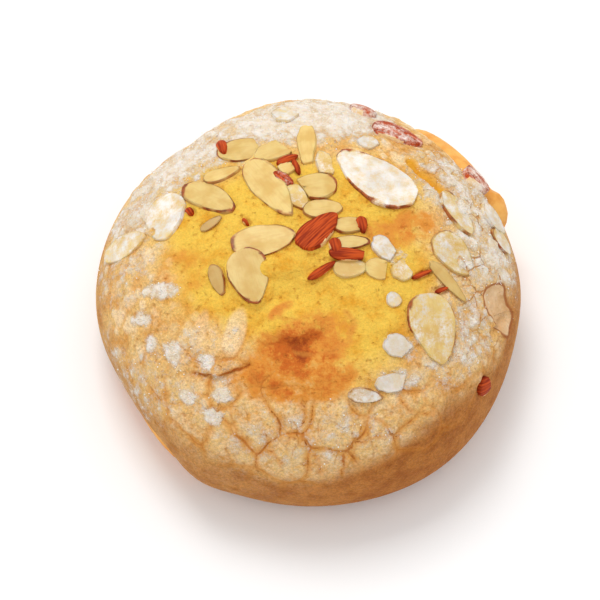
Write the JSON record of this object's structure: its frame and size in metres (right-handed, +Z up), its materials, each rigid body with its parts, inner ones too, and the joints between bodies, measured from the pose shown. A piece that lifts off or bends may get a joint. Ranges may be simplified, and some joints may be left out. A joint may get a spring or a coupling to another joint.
{
  "type": "almond topped sweet bun",
  "caption": "Round domed sweet bun under a crackled almond sponge topping dusted with sugar, with flaked almonds baked in.",
  "frame": {"origin": "middle of the bun's bounding box at its flat underside", "axes": "+Z up through the dome; the picture was taken from the -Y side, looking down at about 64 degrees, with +X to its right"},
  "size_m": [0.1053, 0.1051, 0.0508],
  "materials": {
    "bread": "smooth browned bread crust, slightly silky",
    "topping": "dry crackled almond sponge with sugar, browned at the edge"
  },
  "bodies": {
    "root": {"bread": "bread", "topping": "topping"}
  },
  "joints": []
}
